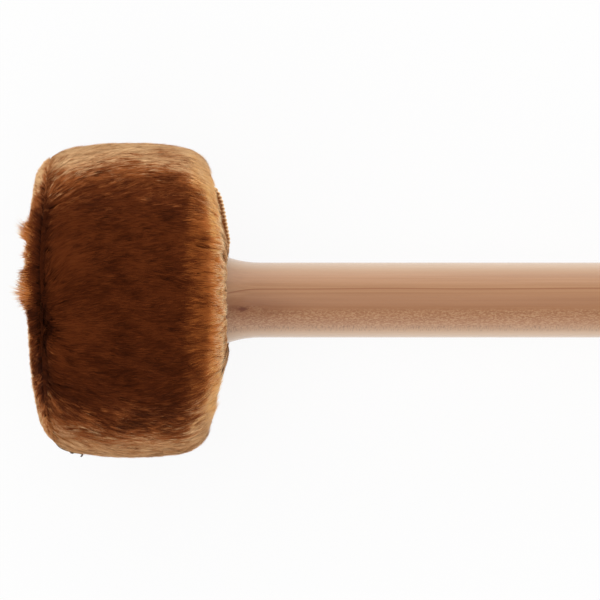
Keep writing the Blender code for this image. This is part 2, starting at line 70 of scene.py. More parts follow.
class Nodes:
    """The nodes of one material or node group, with short ways to add them and join their sockets."""

    def __init__(self, tree):
        self.tree = tree

    def feed(self, socket, value):
        """Joins another node's output to a socket, or sets the socket's own value."""
        if isinstance(value, bpy.types.NodeSocket):
            self.tree.links.new(value, socket)
        elif socket.type == "RGBA":
            socket.default_value = (*value, 1.0)
        else:
            socket.default_value = value

    def add(self, kind, **settings):
        """A new node. A setting with a capital is an input, and any other is a property of the node."""
        node = self.tree.nodes.new(kind)
        for name, value in settings.items():
            if name[0].isupper():
                self.feed(node.inputs[name.replace("_", " ")], value)
            else:
                setattr(node, name, value)
        return node

    def math(self, operation, *values):
        node = self.add("ShaderNodeMath", operation=operation)
        for socket, value in zip(node.inputs, values):
            self.feed(socket, value)
        return node.outputs[0]

    def vector(self, operation, *values):
        node = self.add("ShaderNodeVectorMath", operation=operation)
        for socket, value in zip(node.inputs, values):
            self.feed(socket, value)
        return node.outputs["Value" if operation in ("DOT_PRODUCT", "LENGTH") else "Vector"]

    def mix(self, first, second, share, blend_type="MIX"):
        node = self.add("ShaderNodeMix", data_type="RGBA", blend_type=blend_type)
        for number, value in ((0, share), (6, first), (7, second)):
            self.feed(node.inputs[number], value)
        return node.outputs[2]

    def step(self, value, low, high):
        """A smooth rise from 0 at low to 1 at high."""
        rise = self.add("ShaderNodeMapRange", interpolation_type="SMOOTHSTEP", Value=value,
                        From_Min=low, From_Max=high)
        return rise.outputs["Result"]

    def ramp(self, value, stops):
        """A colour read from (place, colour) stops."""
        node = self.add("ShaderNodeValToRGB", Fac=value)
        elements = node.color_ramp.elements
        while len(elements) < len(stops):
            elements.new(0.5)
        for element, (place, colour) in zip(elements, stops):
            element.position = place
            element.color = (*colour, 1.0)
        return node.outputs["Color"]

    def noise(self, place, scale, detail, **settings):
        """Noise at this many steps a metre, or three such numbers for noise that is longer one way."""
        if isinstance(scale, tuple):
            place = self.vector("MULTIPLY", place, scale)
            scale = 1.0
        node = self.add("ShaderNodeTexNoise", Vector=place, Scale=scale, Detail=detail, **settings)
        return node.outputs["Fac"]


def new_material(name):
    """A new material: itself, its nodes, its shader's inputs and the piece's own coordinates."""
    material = bpy.data.materials.new(name)
    material.use_nodes = True
    nodes = Nodes(material.node_tree)
    shader = material.node_tree.nodes["Principled BSDF"].inputs
    return material, nodes, shader, nodes.add("ShaderNodeTexCoord").outputs["Object"]


def new_group(name, taken, given):
    """A node group with named inputs and outputs: itself, its nodes, its inputs and its outputs."""
    tree = bpy.data.node_groups.new(name, "ShaderNodeTree")
    for in_out, sockets in (("INPUT", taken), ("OUTPUT", given)):
        for socket, kind in sockets.items():
            tree.interface.new_socket(name=socket, in_out=in_out, socket_type=f"NodeSocket{kind}")
    nodes = Nodes(tree)
    return tree, nodes, nodes.add("NodeGroupInput").outputs, nodes.add("NodeGroupOutput").inputs


def select_only(*pieces):
    """Selects these pieces alone, with the first as the active one."""
    bpy.ops.object.select_all(action="DESELECT")
    for piece in pieces:
        piece.select_set(True)
    bpy.context.view_layer.objects.active = pieces[0]


merge_distance = 0.00002


def dressed_copy(node, name, material, subdivisions=0, smooth_angle=40):
    """A merged and smoothed copy of one CAD node, which stands for it."""
    piece = bpy.data.objects.new(name, frame["nodes"][node].data.copy())
    bpy.context.scene.collection.objects.link(piece)
    piece.data.materials.clear()
    piece.data.materials.append(material)
    select_only(piece)
    bpy.ops.object.mode_set(mode="EDIT")
    bpy.ops.mesh.select_all(action="SELECT")
    bpy.ops.mesh.remove_doubles(threshold=merge_distance)
    bpy.ops.mesh.tris_convert_to_quads()
    bpy.ops.object.mode_set(mode="OBJECT")
    if subdivisions:
        smoother = piece.modifiers.new("Fine", "SUBSURF")
        smoother.levels = subdivisions
        smoother.render_levels = subdivisions
        bpy.ops.object.modifier_apply(modifier=smoother.name)
    bpy.ops.object.shade_smooth_by_angle(angle=math.radians(smooth_angle))
    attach(piece, "root")
    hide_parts(node)
    return piece


# Wood, for the handle and the core. Its grain runs along X, in metres. The rings lie nearly flat in the
# stem, so that a ring's edge shows as a line along the piece.
ring_slant = math.radians(31)
ring_outwards = (0.0, math.cos(ring_slant), math.sin(ring_slant))
wood_figure, figure, taken, given = new_group(
    "wood_figure",
    {"Vector": "Vector", "Pale": "Color", "Brown": "Color", "Line": "Color",
     "Ring Width": "Float", "Ring Edge": "Float"},
    {"Color": "Color", "Fibres": "Float", "Ring Depth": "Float"},
)
unevenness = figure.math("SUBTRACT", figure.noise(taken["Vector"], (7, 45, 45), 2.0), 0.5)
drift = figure.math("MULTIPLY", unevenness, 0.0022)
ring_depth = figure.math("ADD", figure.vector("DOT_PRODUCT", taken["Vector"], ring_outwards), drift)
rings = figure.math("DIVIDE", figure.math("SUBTRACT", ring_depth, taken["Ring Edge"]), taken["Ring Width"])
ring = figure.math("FRACT", rings)
brown_share = figure.ramp(ring, [
    (place, (share, share, share)) for place, share in (
        (0.0, 0.0), (0.34, 0.15), (0.50, 0.75), (0.72, 0.95), (0.86, 0.80), (0.97, 0.35), (1.0, 0.15),
    )
])
wood_tone = figure.mix(taken["Pale"], taken["Brown"], brown_share)
ring_line = figure.math("SUBTRACT", 1.0, figure.math("ABSOLUTE", figure.math("SUBTRACT", ring, 0.992)))
wood_tone = figure.mix(wood_tone, taken["Line"], figure.step(ring_line, 0.988, 1.0))
pale_line = figure.math("ABSOLUTE", figure.math("SUBTRACT", ring, 0.962))
pale_share = figure.math("MULTIPLY", figure.step(pale_line, 0.016, 0.0), 0.6)
wood_tone = figure.mix(wood_tone, taken["Pale"], pale_share)
stripes = figure.step(figure.noise(taken["Vector"], (5, 260, 260), 3.0, Roughness=0.6), 0.42, 0.66)
wood_tone = figure.mix(wood_tone, (0.86, 0.82, 0.78), figure.math("MULTIPLY", stripes, 0.6), "MULTIPLY")
fibres = figure.step(figure.noise(taken["Vector"], (16, 1300, 1300), 4.0, Roughness=0.6), 0.36, 0.66)
wood_tone = figure.mix(wood_tone, (0.84, 0.79, 0.75), figure.math("MULTIPLY", fibres, 0.4), "MULTIPLY")
figure.feed(given["Color"], wood_tone)
figure.feed(given["Fibres"], fibres)
figure.feed(given["Ring Depth"], ring_depth)

# The beech itself, with the marks that the photo's grip has near the head.
beech, wood, shader, place = new_material("sealed_beech")
to_axis = Matrix((axis, across, up_from_axis))
along_grain = wood.add(
    "ShaderNodeMapping",
    Vector=place,
    Rotation=to_axis.to_euler(),
    Location=-(to_axis @ head_middle),
).outputs["Vector"]
knot_middle = (0.0447, -0.0037, 0.0155)
stain_middle = (0.0412, -0.0032, 0.0165)
from_knot = wood.vector("SUBTRACT", along_grain, knot_middle)
knot_distance = wood.vector("LENGTH", wood.vector("MULTIPLY", from_knot, (0.45, 1.0, 1.0)))
halo_distance = wood.vector("LENGTH", wood.vector("MULTIPLY", from_knot, (0.20, 1.0, 0.6)))
from_stain = wood.vector("SUBTRACT", along_grain, stain_middle)
stain_distance = wood.vector("LENGTH", wood.vector("MULTIPLY", from_stain, (0.42, 1.0, 0.4)))
pushed_aside = wood.math("MULTIPLY", wood.step(knot_distance, 0.0060, 0.0008), -0.0022)
shove = wood.add("ShaderNodeCombineXYZ", Y=pushed_aside).outputs["Vector"]
beech_figure = wood.add(
    "ShaderNodeGroup",
    node_tree=wood_figure,
    Vector=wood.vector("ADD", along_grain, shove),
    Pale=(0.475, 0.245, 0.122),
    Brown=(0.375, 0.165, 0.070),
    Line=(0.33, 0.135, 0.058),
    Ring_Width=0.026,
    Ring_Edge=0.0113,
).outputs
wood_colour = beech_figure["Color"]
from_edge = wood.math("ABSOLUTE", beech_figure["Ring Depth"])
on_edge = wood.math("SUBTRACT", 1.0, wood.step(from_edge, 0.0030, 0.0052))
mottle = wood.noise(along_grain, (850, 2100, 2100), 2.0, Distortion=0.8)
flecks = wood.step(mottle, 0.49, 0.59)
between = wood.step(mottle, 0.46, 0.38)
fleck_share = wood.math("MULTIPLY", wood.math("MULTIPLY", flecks, on_edge), 0.34)
wood_colour = wood.mix(wood_colour, (0.62, 0.39, 0.21), fleck_share)
past_edge = wood.math("ABSOLUTE", wood.math("ADD", beech_figure["Ring Depth"], 0.0044))
ticked = wood.math("SUBTRACT", 1.0, wood.step(past_edge, 0.0006, 0.0026))
ticks = wood.step(wood.noise(along_grain, (2300, 520, 520), 2.0), 0.50, 0.64)
for tint, most, mark in (
    ((0.70, 0.58, 0.48), 0.45, wood.math("MULTIPLY", between, on_edge)),
    ((0.46, 0.33, 0.23), 0.75, wood.math("MULTIPLY", ticks, ticked)),
    ((0.74, 0.62, 0.52), 0.75, wood.step(halo_distance, 0.0062, 0.0010)),
    ((0.62, 0.40, 0.24), 0.80, wood.step(knot_distance, 0.0018, 0.0006)),
    ((0.70, 0.50, 0.34), 0.50, wood.step(stain_distance, 0.0016, 0.0005)),
):
    wood_colour = wood.mix(wood_colour, tint, wood.math("MULTIPLY", mark, most), "MULTIPLY")
wood_colour = wood.mix(wood_colour, (0.15, 0.036, 0.009), wood.step(knot_distance, 0.0011, 0.0005))
# Painted sheen: where the grip is seen edge-on, its colour is mixed towards a pale cream, standing in for a
# soft reflection along its edges.
slant = wood.add("ShaderNodeLayerWeight", Blend=0.5).outputs["Facing"]
painted_sheen = wood.math("MULTIPLY", wood.step(slant, 0.13, 0.62), 0.5)
wood.feed(shader["Base Color"], wood.mix(wood_colour, (0.76, 0.62, 0.47), painted_sheen))
wood.feed(shader["Roughness"], 0.5)
wood.feed(shader["Specular IOR Level"], 0.2)
wood.feed(shader["Coat Weight"], 1.0)
wood.feed(shader["Coat IOR"], 1.3)
wood.feed(shader["Coat Roughness"], 0.22)
raised = wood.add("ShaderNodeBump", Strength=0.12, Distance=0.0002, Height=beech_figure["Fibres"])
wood.feed(shader["Normal"], raised.outputs["Normal"])
dressed_copy("handle", "turned_handle", beech)

# Core: a turned hardwood drum, which gives the head its weight. It is bored for the tenon and glued to it,
# and its wood is left bare.
hardwood, wood, shader, place = new_material("bare_hardwood")
core_figure = wood.add(
    "ShaderNodeGroup",
    node_tree=wood_figure,
    Vector=place,
    Pale=(0.60, 0.42, 0.25),
    Brown=(0.44, 0.27, 0.14),
    Line=(0.30, 0.16, 0.08),
    Ring_Width=0.0045,
    Ring_Edge=0.001,
).outputs
wood.feed(shader["Base Color"], core_figure["Color"])
wood.feed(shader["Roughness"], 0.7)
raised = wood.add("ShaderNodeBump", Strength=0.3, Distance=0.0003, Height=core_figure["Fibres"])
wood.feed(shader["Normal"], raised.outputs["Normal"])
dressed_copy("core", "turned_core", hardwood)

# Screw and washer: zinc-plated steel, stamped and rolled. They clamp the core against the tenon, and
# they keep their CAD shapes.
steel, metal, shader, place = new_material("zinc_plating")
spangle = metal.noise(place, 700.0, 4.0)
metal.feed(shader["Base Color"], metal.ramp(spangle, [(0.3, (0.45, 0.46, 0.48)), (0.7, (0.60, 0.61, 0.64))]))
metal.feed(shader["Metallic"], 1.0)
metal.feed(shader["Roughness"], 0.35)
for node in ("core_screw", "screw_washer"):
    frame["nodes"][node].data.materials.clear()
    frame["nodes"][node].data.materials.append(steel)

# Felt and wadding: pressed wool felt wound and laid round the core, and a soft cap of polyester fibre
# over it, which the plush holds in place.
matted_fibres, mat, taken, given = new_group(
    "matted_fibres",
    {"Vector": "Vector", "Dark": "Color", "Pale": "Color", "Scale": "Float"},
    {"Color": "Color", "Height": "Float"},
)
tangle = mat.noise(taken["Vector"], taken["Scale"], 8.0, Roughness=0.7, Distortion=1.5)
mat.feed(given["Color"], mat.mix(taken["Dark"], taken["Pale"], mat.step(tangle, 0.33, 0.67)))
mat.feed(given["Height"], tangle)


def fibre_material(name, dark, pale, scale, gloss=0.1):
    """Matted fibres of two tones, with a rough and matt surface."""
    material, nodes, shader, place = new_material(name)
    matted = nodes.add(
        "ShaderNodeGroup",
        node_tree=matted_fibres,
        Vector=place,
        Dark=dark,
        Pale=pale,
        Scale=scale,
    ).outputs
    raised = nodes.add("ShaderNodeBump", Strength=0.6, Distance=0.0006, Height=matted["Height"])
    nodes.feed(shader["Base Color"], matted["Color"])
    nodes.feed(shader["Normal"], raised.outputs["Normal"])
    nodes.feed(shader["Roughness"], 0.95)
    nodes.feed(shader["Specular IOR Level"], gloss)
    return material


felt = fibre_material("pressed_felt", (0.44, 0.41, 0.36), (0.62, 0.59, 0.53), 420.0)
for node in ("felt_wrap", "front_felt", "back_felt"):
    dressed_copy(node, f"{node}_pressed", felt)
fibre_fill = fibre_material("fibre_fill", (0.74, 0.74, 0.71), (0.9, 0.9, 0.88), 260.0)
wadding = dressed_copy("wadding", "wadding_cap", fibre_fill)

# Sewing threads: waxed brown cotton. They lie in the grooves of the two rims and up the side seam, and one
# runs in the hem and gathers it round the collar.
waxed_cotton = fibre_material("waxed_cotton", (0.02, 0.006, 0.002), (0.06, 0.02, 0.007), 1800.0, gloss=0.02)
for node in ("front_seam_thread", "back_seam_thread", "side_seam_thread", "draw_thread"):
    dressed_copy(node, f"{node}_sewn", waxed_cotton, subdivisions=1, smooth_angle=60)

# Plush cover: long synthetic pile on a knitted backing, cut as a band and two faces and sewn up over the
# wadding. The band's nap is combed towards the grip, and the front's across the face towards the side
# that the head rests on, so that it stands up over the upper rim.
widest_radius = 0.0618
side_arc_radius = 0.119
front_side_width = 0.0248
back_side_width = 0.0203
front_shoulder_radius = 0.014
back_shoulder_radius = 0.012
front_face_turn = math.radians(-82)
back_face_turn = math.radians(76)
front_seam_turn = math.radians(-42)
back_seam_turn = math.radians(44)
collar_radius = 0.0205
hem_middle = (0.0345, 0.0218)
hem_reach = 0.0026
hem_end_turn = math.radians(150)
outline_steps = 120
towards_floor = -up_from_axis


def head_outline():
    """Along the plush from the middle of the striking face to the hem: arc length, z, radius, turn."""
    front_turn = -math.asin(front_side_width / side_arc_radius)
    back_turn = math.asin(back_side_width / side_arc_radius)
    side_middle = widest_radius - side_arc_radius
    front_swing = side_arc_radius - front_shoulder_radius
    back_swing = side_arc_radius - back_shoulder_radius
    front_middle = (front_swing * math.sin(front_turn), side_middle + front_swing * math.cos(front_turn))
    back_middle = (back_swing * math.sin(back_turn), side_middle + back_swing * math.cos(back_turn))
    face_edge = (
        front_middle[0] + front_shoulder_radius * math.sin(front_face_turn),
        front_middle[1] + front_shoulder_radius * math.cos(front_face_turn),
    )
    dome_radius = face_edge[1] / math.cos(front_face_turn)
    dome_middle = (face_edge[0] - dome_radius * math.sin(front_face_turn), 0.0)
    places = []
    for middle, reach, start, end in (
        (dome_middle, dome_radius, -math.pi / 2, front_face_turn),
        (front_middle, front_shoulder_radius, front_face_turn, front_turn),
        ((0.0, side_middle), side_arc_radius, front_turn, back_turn),
        (back_middle, back_shoulder_radius, back_turn, back_face_turn),
    ):
        turns = np.linspace(start, end, outline_steps)
        places.append(np.column_stack((
            middle[0] + reach * np.sin(turns), middle[1] + reach * np.cos(turns), turns
        )))
    turns = np.linspace(back_face_turn, hem_end_turn, outline_steps)
    places.append(np.column_stack((
        hem_middle[0] + hem_reach * np.sin(turns), hem_middle[1] + hem_reach * np.cos(turns), turns
    )))
    line = np.vstack(places)
    steps = np.hypot(np.diff(line[:, 0]), np.diff(line[:, 1]))
    return np.concatenate(([0.0], np.cumsum(steps))), line[:, 0], line[:, 1], line[:, 2]


outline_length, outline_z, outline_r, outline_turn = head_outline()
front_seam = float(np.interp(front_seam_turn, outline_turn, outline_length))
back_seam = float(np.interp(back_seam_turn, outline_turn, outline_length))
hem_start = float(outline_length[-outline_steps])
hem_end = float(outline_length[-1])


def surface(along, angle):
    """Place on the plush, its outward normal, the way to the grip and the way round, in the head's axes."""
    z = np.interp(along, outline_length, outline_z)
    r = np.interp(along, outline_length, outline_r)
    turn = np.interp(along, outline_length, outline_turn)
    cosine, sine = np.cos(angle), np.sin(angle)
    spot = np.column_stack((r * cosine, r * sine, z))
    normal = np.column_stack((np.cos(turn) * cosine, np.cos(turn) * sine, np.sin(turn)))
    gripwards = np.column_stack((-np.sin(turn) * cosine, -np.sin(turn) * sine, np.cos(turn)))
    around = np.column_stack((-sine, cosine, np.zeros_like(z)))
    return spot, normal, gripwards, around


least_reach = 0.003


def walk(along, angle, course, ahead, aside):
    """The place reached over the plush by going ahead on a course, and aside from it."""
    reach = np.maximum(np.interp(along, outline_length, outline_r), least_reach)
    further = along + np.cos(course) * ahead + np.sin(course) * aside
    turned = angle + (np.sin(course) * ahead - np.cos(course) * aside) / reach
    past_middle = further < 0
    return np.abs(further), np.where(past_middle, turned + math.pi, turned)


def bump(value, middle, width):
    """A smooth bump: 1 at the middle, and nearly 0 from twice the width on."""
    return np.exp(-(((value - middle) / width) ** 2))


def upper_side(angle):
    """1 along the head's top line, which is nearest to the camera, and 0 on its lower half."""
    return np.clip(-np.cos(angle), 0.0, 1.0)


def from_nearest(angle):
    """The angle round the axis from the line nearest to the camera, downwards in its picture."""
    return angle % (2 * math.pi) - math.pi


def fan(angle):
    """The course along the front seam: up above the parting, and down below it."""
    down = from_nearest(angle)
    return 0.60 * bump(down, 0.75, 0.40) - 0.95 * bump(down, -0.20, 0.34) - 0.40 * bump(down, -1.05, 0.45)


def to_the_grip(along, angle):
    """The band's course. It fans out of the front seam, and the lower side's turns up before the back."""
    past_seam = along - front_seam
    back_turn_up = np.clip(-np.sin(angle), 0.0, 1.0) * np.exp(-np.abs(back_seam - along) / 0.016)
    at_gap = bump(past_seam, 0.0, 0.0030) * bump(from_nearest(angle), 0.14, 0.14)
    return fan(angle) * np.exp(-past_seam / 0.010) - 0.45 * back_turn_up + 1.3 * at_gap


def across_the_face(along, angle):
    """The front's course, across the face towards the floor side and more along the rim than over it."""
    turn = np.interp(along, outline_length, outline_turn)
    over = np.interp(along, (0.7 * front_seam, front_seam), (1.0, 0.5))
    return np.arctan2(-np.sin(angle), -np.sin(turn) * np.cos(angle) * over)


def nothing(along, angle):
    """Nought everywhere: the course of a nap combed straight to the collar, or the rise of flat pile."""
    return np.zeros_like(along)


def unit(vectors):
    return vectors / np.maximum(np.linalg.norm(vectors, axis=-1, keepdims=True), 1e-9)


calm_radius = 0.03


def soft_waves(seed, amplitude):
    """A smooth and uneven field over the plush, which fades towards the middle of the face."""
    source = np.random.default_rng(seed)
    along_steps = source.uniform(-330, 330, 8)
    around_steps = source.integers(-20, 21, 8)
    phases = source.uniform(0, 2 * math.pi, 8)

    def field(along, angle):
        far_out = np.clip(np.interp(along, outline_length, outline_r) / calm_radius, 0.0, 1.0) ** 2
        waves = zip(along_steps, around_steps, phases)
        total = sum(np.sin(steps * along + turns * angle + phase) for steps, turns, phase in waves)
        return amplitude / 2 * far_out * total

    return field


uneven_height = soft_waves(3, 0.00015)
uneven_course = soft_waves(5, 0.13)
uneven_tone = soft_waves(9, 0.055)

back_stitches = 33
back_stitch_turn = 2 * math.pi / back_stitches
first_back_stitch = math.radians(170)
back_seam_radius = float(np.interp(back_seam, outline_length, outline_r))
stitch_half_width = 0.0005
shortest_blade = 0.0015


def aside_from_stitch(angle):
    """How far round the back seam the nearest stitch is."""
    past = (angle - first_back_stitch) / back_stitch_turn
    return (past - np.round(past)) * back_stitch_turn * back_seam_radius


def dimples(along, angle):
    """Where the back seam's stitches pull the pile in."""
    return bump(along, back_seam, 0.0011) * bump(aside_from_stitch(angle), 0.0, 0.0010)


def to_next_stitch(along, angle, course):
    """How far a blade can go before a stitch of the back seam holds it down."""
    ahead = (back_seam - along) / np.maximum(np.cos(course), 0.2)
    aside = aside_from_stitch(angle + np.sin(course) * ahead / back_seam_radius)
    tightness = 0.6 + 0.4 * np.sin(5 * angle)
    held = (np.abs(aside) < stitch_half_width * tightness) & (ahead > 0)
    return np.where(held, np.maximum(ahead + 0.0002, shortest_blade), 1.0)


pleat_count = 20
pleat_height = 0.0013
pleats_fade_out = 0.041
fullest_swell = 0.0044
seam_depth = 0.0003
skew_above = 0.0014
skew_below = 0.0007


def swell(along, angle):
    """How far the lying pile stands above its usual height. It follows the pleats that rise towards the hem,
    and is fullest at the upper side's back rim. The front sits a little askew, up in the picture."""
    back_rim = bump(along, back_seam + 0.010, 0.0085) * upper_side(angle) ** 1.5
    radius = np.interp(along, outline_length, outline_r)
    drawn_in = np.clip((pleats_fade_out - radius) / (pleats_fade_out - collar_radius), 0.0, 1.0)
    drawn_in *= (along > back_seam) * np.interp(along, (hem_start, hem_end), (1.0, 0.2))
    pleats = pleat_height * (0.45 + 0.55 * np.abs(np.sin(pleat_count / 2 * angle))) * drawn_in
    seam_dip = seam_depth * (bump(along, back_seam, 0.0018) + dimples(along, angle))
    askew = np.sin(angle) * bump(along, front_seam - 0.006, 0.008)
    askew = np.where(askew > 0, skew_above, skew_below) * askew
    return fullest_swell * back_rim + pleats + askew - seam_dip + uneven_height(along, angle)


def beside_the_fold(along, angle):
    """Where the back's pile makes room for the sewn fold."""
    radius = np.interp(along, outline_length, outline_r)
    aside = radius * (angle % (2 * math.pi) - math.pi / 2)
    return bump(aside, 0.0, 0.004) * (along > back_seam + 0.008)


def past_the_gap(along, angle):
    """Below the tufts the front seam's groove opens, and bends away from the seam: how far a place is
    past the gap's middle, and how open the gap is there."""
    down = from_nearest(angle)
    bend = 0.0003 + 0.0030 * bump(down, 0.185, 0.055)
    return along - front_seam - bend, np.exp(-(((down - 0.20) / 0.20) ** 4))


def parting(along, angle):
    """How bare the plush is in the front seam's groove and in its gap, where the roots show."""
    past, open_here = past_the_gap(along, angle)
    return np.maximum(0.5 * bump(along, front_seam, 0.0012), open_here * bump(past, 0.0, 0.0010))


def short_beside(along, angle):
    """How much shorter the pile is beside the front seam and its gap."""
    past, open_here = past_the_gap(along, angle)
    return np.maximum(0.45 * bump(along, front_seam, 0.0025), 0.60 * open_here * bump(past, 0.0014, 0.0016))


def to_the_gap(along, angle):
    """How far a blade from the seam can go before the front seam's gap."""
    past, open_here = past_the_gap(along, angle)
    before = (past < -0.0004) & (along > front_seam - 0.001) & (open_here > 0.5)
    return np.where(before, np.maximum(-past - 0.0006, 0.0010), 1.0)


def past_the_rim(along, angle):
    """The back's pile stands out past the rim on the upper side, as a soft fringe."""
    return 0.40 * upper_side(angle) * bump(along, back_seam + 0.0065, 0.0045)


tufts = ((-0.05, 0.10, 0.45), (-0.20, 0.06, 0.27), (-0.33, 0.05, 0.24), (-0.49, 0.08, 0.50))
tuft_turn = math.radians(-66)


def over_the_rim(along, angle):
    """The front's pile stands up where it is combed over the rim on the upper side, most in four tufts. Each
    is written as the middle and width of its place on the rim, and its lift."""
    turn = np.interp(along, outline_length, outline_turn)
    down = from_nearest(angle)
    lifts = sum(lift * bump(down, middle, width) for middle, width, lift in tufts)
    return bump(turn, tuft_turn, 0.22) * lifts


def at_back_rim(along, angle):
    return bump(along, back_seam + 0.0058, 0.0056) * upper_side(angle)


palest_lying = 0.86


def blade_tones(own_tone, along, angle, bare, standing, paling):
    """Each blade's tone, from 0, dark, to 1, pale. It is paler at the back rim on the upper side and where
    the pile stands up, which is painted glow of light through the pile, and paler just before the back seam.
    It is darker in the seam's groove and gap, in the stitch dimples and beside the fold, where roots show,
    which is painted shade in those hollows, and darker on the back towards the hem, which is painted shade."""
    rim = at_back_rim(along, angle)
    fringe = bump(along, back_seam + 0.003, 0.009) * upper_side(angle)
    before_seam = bump(along, back_seam - 0.0068, 0.0014)
    # Painted shade: blades in the front seam's groove and gap, the stitch dimples and beside the fold are
    # darker.
    tone = np.clip(own_tone, 0.02, 0.70) - 0.7 * bare
    # Painted glow: the fringe and rim terms make the upper side's back rim paler, as if lit through.
    tone += 0.47 * fringe + 0.22 * rim + 0.10 * before_seam
    # Painted shade: the back is darker towards the hem.
    tone -= 0.12 * np.clip((along - back_seam - 0.014) / 0.010, 0.0, 1.0)
    # Painted glow: standing pile is made paler by its paling, standing in for light shining through it.
    return np.clip(np.minimum(tone, palest_lying + 0.06 * rim) + paling * standing, 0.02, 0.98)


flat_radius = 0.043
rim_radius = 0.050
slope_step = 0.0005


def layer_facing(along, angle, rounding):
    """The way that the lying pile faces, with its swells, and turned outwards at the rim to round it off."""
    _, normal, gripwards, around = surface(along, angle)
    radius = np.interp(along, outline_length, outline_r)
    turned = slope_step / np.maximum(radius, least_reach)
    lift = swell(along, angle)
    slope_along = (swell(along + slope_step, angle) - lift) / slope_step
    slope_around = (swell(along, angle + turned) - lift) / slope_step
    outward = np.column_stack((np.cos(angle), np.sin(angle), np.zeros_like(along)))
    outward *= rounding * np.interp(radius, (flat_radius, rim_radius), (0.0, 1.0))[:, None]
    return unit(normal - gripwards * slope_along[:, None] - around * slope_around[:, None] + outward)


blade_places = np.array([0.0, 0.5, 1.0])
root_depth = 0.0005
least_rise = 0.00025
stiffness = 0.35


def lay_blades(along, angle, comb, bend, length, height, standing, roll, rounding):
    """The knots of each blade from root to tip, with its side and its layer's facing there. A blade follows
    the comb, rises out of the backing and lies down at its own height, or else stands off the plush."""
    knots, sides, layers = [], [], []
    place_before = 0.0
    for place in blade_places:
        course = comb(along, angle) + bend
        along, angle = walk(along, angle, course, length * (place - place_before), 0.0)
        place_before = place
        spot, normal, gripwards, around = surface(along, angle)
        heading = gripwards * np.cos(course)[:, None] + around * np.sin(course)[:, None]
        if place == 0:
            root, root_heading, root_normal = spot, heading, normal
        straight = root + root_heading * (length * place)[:, None]
        rise = height * place * (2 - place) - root_depth * (1 - place)
        rise += swell(along, angle) * min(1.0, 2 * place) + length * standing * place
        if place > 0:
            rise = np.maximum(rise, least_rise)
        lying = spot + normal * rise[:, None]
        reaching = straight + root_normal * rise[:, None]
        hold = np.clip(stiffness + standing, 0.0, 1.0)[:, None]
        knots.append(lying * (1 - hold) + reaching * hold)
        sides.append(np.cross(normal, heading) * np.cos(roll)[:, None] + normal * np.sin(roll)[:, None])
        layers.append(layer_facing(along, angle, rounding))
    return knots, sides, layers


blade_widths = np.array([0.8, 1.0])
blade_points = 2 * len(blade_widths) + 1


def cut_blades(knots, sides, layers, half_width, raised, tilt):
    """The corners of the blades, in pairs up to a pointed tip, and the way that each corner is shaded: as
    the layer that it lies in, or as the blade itself where it is raised."""
    tangents = unit(np.stack((knots[1] - knots[0], knots[2] - knots[0], knots[2] - knots[1])))
    points = np.empty((len(half_width), blade_points, 3))
    facing = np.empty_like(points)
    for step, (knot, side, layer, tangent) in enumerate(zip(knots, sides, layers, tangents)):
        face = unit(layer - tangent * np.sum(layer * tangent, axis=1, keepdims=True) * raised + tilt)
        if step < len(blade_widths):
            out = side * (half_width * blade_widths[step])[:, None]
            points[:, 2 * step] = knot - out
            points[:, 2 * step + 1] = knot + out
            facing[:, 2 * step] = face
            facing[:, 2 * step + 1] = face
        else:
            points[:, -1] = knot
            facing[:, -1] = face
    return points, facing


blades_in_lock = 14
lock_spread = 0.00036
lock_sway = 0.09
lock_tilt = 0.09
blade_width = 0.00017
blade_sway = 0.05
blade_tilt = 0.05
blade_roll = 0.25
most_roll = 0.5


